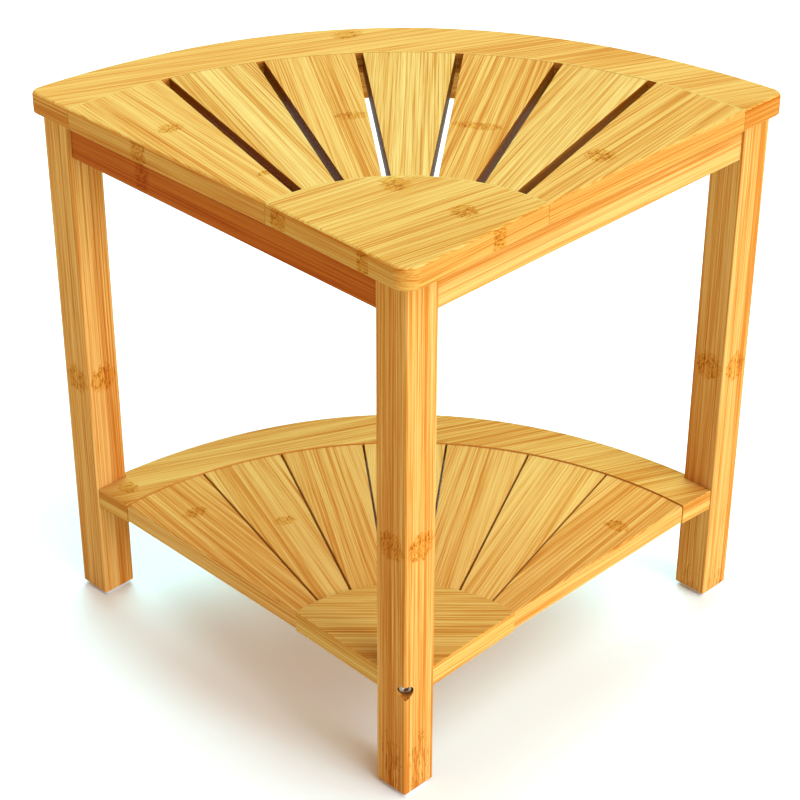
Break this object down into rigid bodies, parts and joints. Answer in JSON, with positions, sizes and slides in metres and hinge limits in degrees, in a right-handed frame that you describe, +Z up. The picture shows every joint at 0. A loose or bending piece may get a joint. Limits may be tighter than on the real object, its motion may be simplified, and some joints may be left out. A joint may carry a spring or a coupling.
{
  "type": "shower stool",
  "caption": "Corner shower stool with a fan-shaped slatted seat on square legs, with rails under the seat and a matching slatted storage shelf low down.",
  "frame": {"origin": "on the floor under the middle of the stool's bounding box", "axes": "+Z up from the floor to the seat, +Y from the front corner to the curved back, +X to the right across the widest part"},
  "size_m": [0.5536, 0.4038, 0.45],
  "materials": {
    "bamboo": "satin clear-coated laminated bamboo",
    "block_wood": "planed bamboo, uncoated",
    "steel": "zinc-plated steel",
    "insert_alloy": "die-cast zinc alloy",
    "pad": "matt moulded plastic"
  },
  "bodies": {
    "root": {"seat_apex_panel": "bamboo", "seat_slat_1": "bamboo", "seat_slat_2": "bamboo", "seat_slat_3": "bamboo", "seat_slat_4": "bamboo", "seat_slat_5": "bamboo", "seat_slat_6": "bamboo", "seat_slat_7": "bamboo", "seat_rim": "bamboo", "shelf_apex_panel": "bamboo", "shelf_slat_1": "bamboo", "shelf_slat_2": "bamboo", "shelf_slat_3": "bamboo", "shelf_slat_4": "bamboo", "shelf_slat_5": "bamboo", "shelf_slat_6": "bamboo", "shelf_slat_7": "bamboo", "shelf_rim": "bamboo", "apron_left": "bamboo", "apron_right": "bamboo", "back_rail": "bamboo", "leg_front": "bamboo", "leg_left": "bamboo", "leg_right": "bamboo", "corner_block_front": "block_wood", "corner_block_left": "block_wood", "corner_block_right": "block_wood", "hanger_bolt_front": "steel", "hanger_washer_front": "steel", "hanger_nut_front": "steel", "shelf_bolt_front": "steel", "pad_screw_front": "steel", "seat_screw_front_1": "steel", "seat_screw_front_2": "steel", "shelf_insert_front": "insert_alloy", "foot_pad_front": "pad", "hanger_bolt_left": "steel", "hanger_washer_left": "steel", "hanger_nut_left": "steel", "shelf_bolt_left": "steel", "pad_screw_left": "steel", "seat_screw_left_1": "steel", "seat_screw_left_2": "steel", "shelf_insert_left": "insert_alloy", "foot_pad_left": "pad", "hanger_bolt_right": "steel", "hanger_washer_right": "steel", "hanger_nut_right": "steel", "shelf_bolt_right": "steel", "pad_screw_right": "steel", "seat_screw_right_1": "steel", "seat_screw_right_2": "steel", "shelf_insert_right": "insert_alloy", "foot_pad_right": "pad"}
  },
  "joints": []
}
